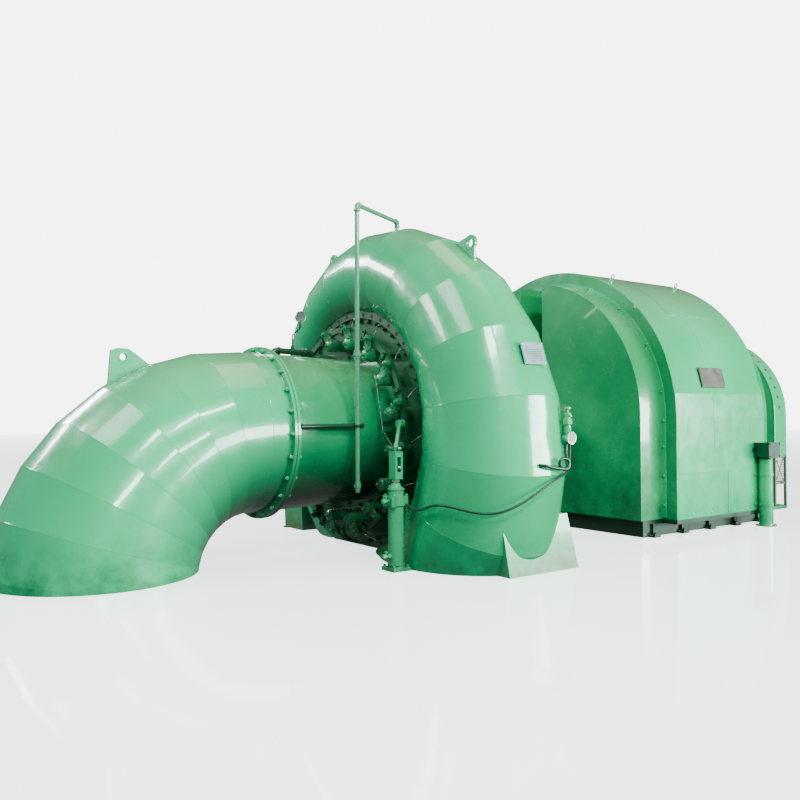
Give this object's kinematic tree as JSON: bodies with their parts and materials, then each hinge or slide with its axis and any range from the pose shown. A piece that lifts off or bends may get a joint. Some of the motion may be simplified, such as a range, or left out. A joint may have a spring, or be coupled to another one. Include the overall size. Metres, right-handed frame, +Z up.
{
  "type": "horizontal Francis turbine and generator set",
  "caption": "Horizontal-shaft hydroelectric set: draft tube elbow, spiral case with guide vane gear, enclosed generator and flywheel guard on one shaft line.",
  "frame": {"origin": "on the turbine floor under the middle of the machine's box", "axes": "+X along the shaft from the draft tube to the generator, +Y across the machine away from the inlet side, +Z up"},
  "size_m": [12.5554, 5.377, 4.3485],
  "materials": {
    "cable_rubber": "smooth",
    "dark_green_paint": "semi-gloss paint",
    "dark_machine_paint": "satin paint",
    "gauge_metal": "polished",
    "green_enamel": "gloss enamel",
    "machined_steel": "machined",
    "maroon_paint": "satin paint",
    "pale_green_pipe": "gloss enamel",
    "plate_metal": "brushed",
    "wire_mesh": "woven wire, painted"
  },
  "bodies": {
    "root": {"air_pipe": "dark_green_paint", "base_beam_far": "dark_green_paint", "base_beam_near": "dark_green_paint", "base_cross_beams": "dark_green_paint", "cable_box": "dark_green_paint", "cable_downpipe": "green_enamel", "case_courses_01": "green_enamel", "case_courses_02": "green_enamel", "case_courses_03": "green_enamel", "case_courses_04": "green_enamel", "case_courses_05": "green_enamel", "case_courses_06": "green_enamel", "case_courses_07": "green_enamel", "case_courses_08": "green_enamel", "case_foot_far": "green_enamel", "case_foot_near": "green_enamel", "case_lifting_lugs": "green_enamel", "draft_cone": "green_enamel", "draft_cone_flange": "green_enamel", "draft_elbow_1": "green_enamel", "draft_elbow_2": "green_enamel", "draft_elbow_3": "green_enamel", "draft_elbow_4": "green_enamel", "draft_elbow_flange": "green_enamel", "draft_elbow_lug": "green_enamel", "end_cover_front_far": "green_enamel", "end_cover_front_near": "green_enamel", "end_cover_rear_far": "green_enamel", "end_cover_rear_near": "green_enamel", "flywheel": "dark_machine_paint", "generator_core": "dark_machine_paint", "generator_end_walls": "green_enamel", "generator_roof": "green_enamel", "generator_wall_far": "green_enamel", "generator_wall_near": "green_enamel", "guard_cover": "green_enamel", "guard_frame": "wire_mesh", "guide_bearing": "green_enamel", "guide_vane_bosses": "green_enamel", "guide_vane_levers": "green_enamel", "guide_vanes": "machined_steel", "head_cover_front": "green_enamel", "head_cover_rear": "green_enamel", "nameplate": "plate_metal", "operating_ring": "green_enamel", "pressure_gauge": "gauge_metal", "rear_bearing": "dark_green_paint", "rear_shaft": "machined_steel", "round_gauge": "gauge_metal", "runner": "dark_machine_paint", "servomotor_cylinder": "green_enamel", "servomotor_rod": "machined_steel", "side_plate": "maroon_paint", "signal_cable": "cable_rubber", "siphon_pipe": "dark_green_paint", "stay_ring": "green_enamel", "stay_vanes": "green_enamel", "tap_valve": "green_enamel", "turbine_shaft": "machined_steel", "vent_pipe": "pale_green_pipe"}
  },
  "joints": []
}
